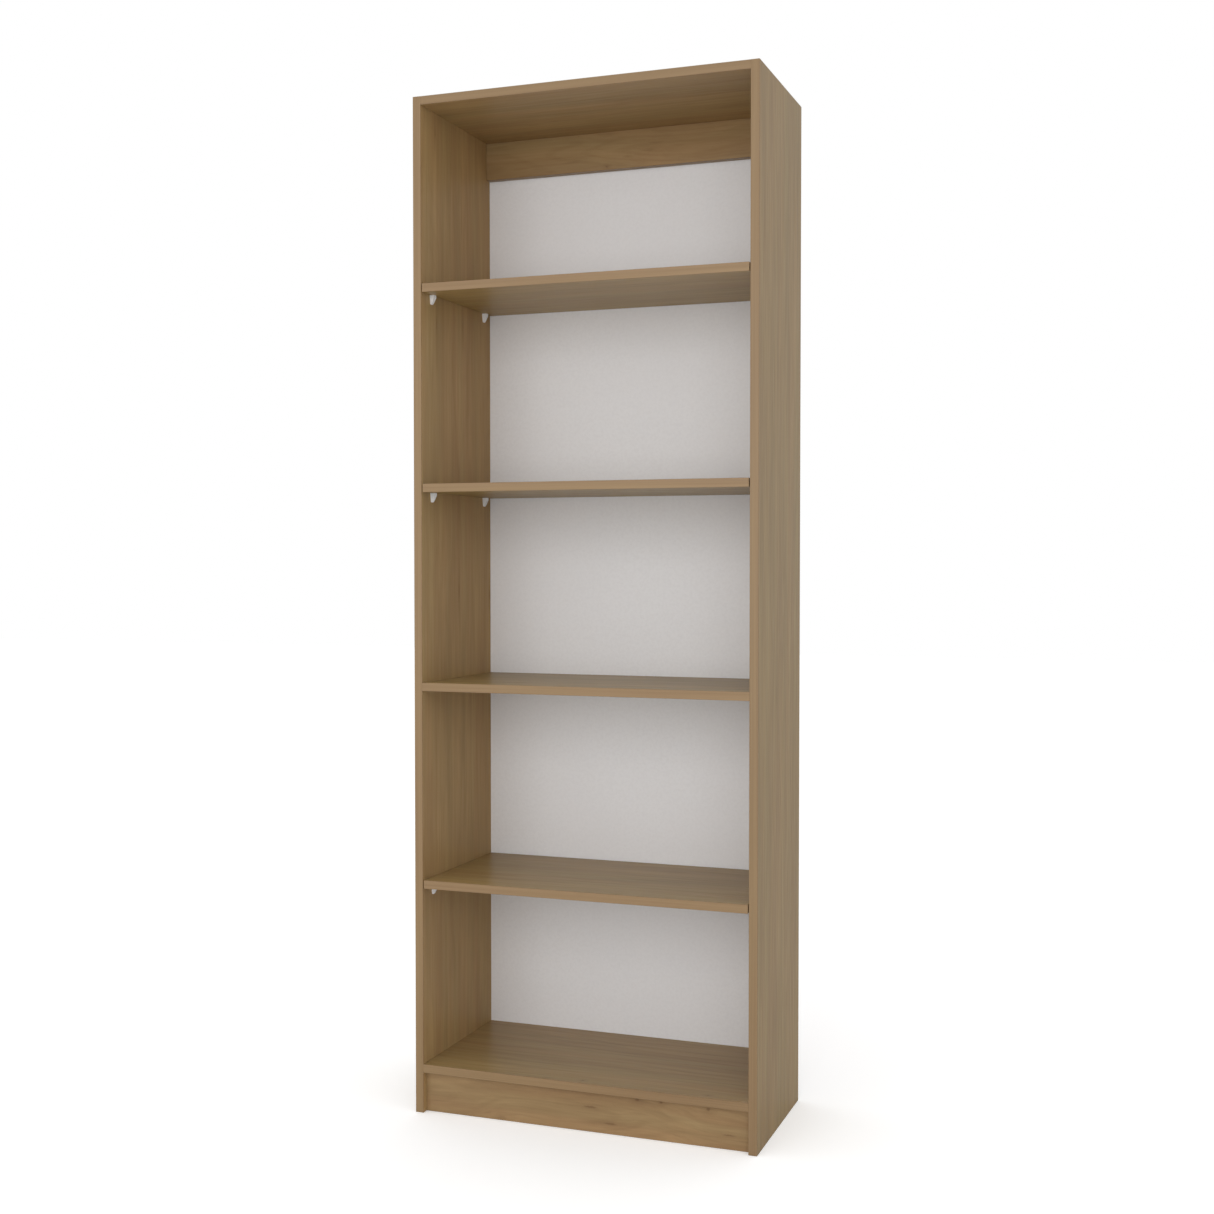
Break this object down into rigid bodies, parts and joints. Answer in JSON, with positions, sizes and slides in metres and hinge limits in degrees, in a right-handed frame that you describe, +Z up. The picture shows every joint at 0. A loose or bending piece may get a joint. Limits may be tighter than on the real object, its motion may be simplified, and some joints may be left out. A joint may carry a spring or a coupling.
{
  "type": "bookcase",
  "caption": "Tall open bookcase in wood-effect board with a plinth, a white back, loose shelves that lift off plug-in supports, and a fixed shelf halfway up.",
  "frame": {"origin": "on the floor, under the middle of the whole bookcase", "axes": "+Z up, the open front faces -Y, +X to the right seen from the front"},
  "size_m": [0.628, 0.298, 1.8],
  "materials": {
    "decor_board": "satin",
    "edge_band": "satin",
    "back_board": "matte",
    "support_plastic": "gloss",
    "cam_zinc": "satin",
    "bolt_steel": "satin",
    "dowel_beech": "matte",
    "nail_steel": "satin"
  },
  "bodies": {
    "carcass": {"back_panel": "back_board", "back_panel_nails": "nail_steel", "back_rail": "decor_board", "back_rail_band": "edge_band", "bottom_panel": "decor_board", "bottom_panel_band": "edge_band", "cam_bolts_bottom": "bolt_steel", "cam_bolts_fixed_shelf": "bolt_steel", "cam_bolts_plinth": "bolt_steel", "cam_bolts_rail": "bolt_steel", "cam_bolts_top": "bolt_steel", "cam_locks_bottom": "cam_zinc", "cam_locks_fixed_shelf": "cam_zinc", "cam_locks_plinth": "cam_zinc", "cam_locks_rail": "cam_zinc", "cam_locks_top": "cam_zinc", "dowels_bottom": "dowel_beech", "dowels_fixed_shelf": "dowel_beech", "dowels_plinth": "dowel_beech", "dowels_rail": "dowel_beech", "dowels_top": "dowel_beech", "fixed_shelf": "decor_board", "fixed_shelf_band": "edge_band", "plinth_board": "decor_board", "side_left_front_band": "edge_band", "side_left_top_band": "edge_band", "side_panel_left": "decor_board", "side_panel_right": "decor_board", "side_right_front_band": "edge_band", "side_right_top_band": "edge_band", "top_panel": "decor_board", "top_panel_band": "edge_band"},
    "lower_shelf": {"lower_shelf": "decor_board", "lower_shelf_band": "edge_band"},
    "middle_shelf": {"middle_shelf": "decor_board", "middle_shelf_band": "edge_band"},
    "upper_shelf": {"upper_shelf": "decor_board", "upper_shelf_band": "edge_band"},
    "support_lower_left_front": {"support_lower_left_front": "support_plastic"},
    "support_lower_left_rear": {"support_lower_left_rear": "support_plastic"},
    "support_lower_right_front": {"support_lower_right_front": "support_plastic"},
    "support_lower_right_rear": {"support_lower_right_rear": "support_plastic"},
    "support_middle_left_front": {"support_middle_left_front": "support_plastic"},
    "support_middle_left_rear": {"support_middle_left_rear": "support_plastic"},
    "support_middle_right_front": {"support_middle_right_front": "support_plastic"},
    "support_middle_right_rear": {"support_middle_right_rear": "support_plastic"},
    "support_upper_left_front": {"support_upper_left_front": "support_plastic"},
    "support_upper_left_rear": {"support_upper_left_rear": "support_plastic"},
    "support_upper_right_front": {"support_upper_right_front": "support_plastic"},
    "support_upper_right_rear": {"support_upper_right_rear": "support_plastic"}
  },
  "joints": [
    {"name": "lower_shelf_lift", "type": "slide", "parent": "carcass", "child": "lower_shelf", "axis": [0, 0, 1], "range_m": [0, 0.335]},
    {"name": "middle_shelf_lift", "type": "slide", "parent": "carcass", "child": "middle_shelf", "axis": [0, 0, 1], "range_m": [0, 0.318]},
    {"name": "upper_shelf_lift", "type": "slide", "parent": "carcass", "child": "upper_shelf", "axis": [0, 0, 1], "range_m": [0, 0.24]},
    {"name": "lower_left_front_support_pull", "type": "slide", "parent": "carcass", "child": "support_lower_left_front", "axis": [1, 0, 0], "range_m": [0, 0.009]},
    {"name": "lower_left_rear_support_pull", "type": "slide", "parent": "carcass", "child": "support_lower_left_rear", "axis": [1, 0, 0], "range_m": [0, 0.009]},
    {"name": "lower_right_front_support_pull", "type": "slide", "parent": "carcass", "child": "support_lower_right_front", "axis": [-1, 0, 0], "range_m": [0, 0.009]},
    {"name": "lower_right_rear_support_pull", "type": "slide", "parent": "carcass", "child": "support_lower_right_rear", "axis": [-1, 0, 0], "range_m": [0, 0.009]},
    {"name": "middle_left_front_support_pull", "type": "slide", "parent": "carcass", "child": "support_middle_left_front", "axis": [1, 0, 0], "range_m": [0, 0.009]},
    {"name": "middle_left_rear_support_pull", "type": "slide", "parent": "carcass", "child": "support_middle_left_rear", "axis": [1, 0, 0], "range_m": [0, 0.009]},
    {"name": "middle_right_front_support_pull", "type": "slide", "parent": "carcass", "child": "support_middle_right_front", "axis": [-1, 0, 0], "range_m": [0, 0.009]},
    {"name": "middle_right_rear_support_pull", "type": "slide", "parent": "carcass", "child": "support_middle_right_rear", "axis": [-1, 0, 0], "range_m": [0, 0.009]},
    {"name": "upper_left_front_support_pull", "type": "slide", "parent": "carcass", "child": "support_upper_left_front", "axis": [1, 0, 0], "range_m": [0, 0.009]},
    {"name": "upper_left_rear_support_pull", "type": "slide", "parent": "carcass", "child": "support_upper_left_rear", "axis": [1, 0, 0], "range_m": [0, 0.009]},
    {"name": "upper_right_front_support_pull", "type": "slide", "parent": "carcass", "child": "support_upper_right_front", "axis": [-1, 0, 0], "range_m": [0, 0.009]},
    {"name": "upper_right_rear_support_pull", "type": "slide", "parent": "carcass", "child": "support_upper_right_rear", "axis": [-1, 0, 0], "range_m": [0, 0.009]}
  ]
}
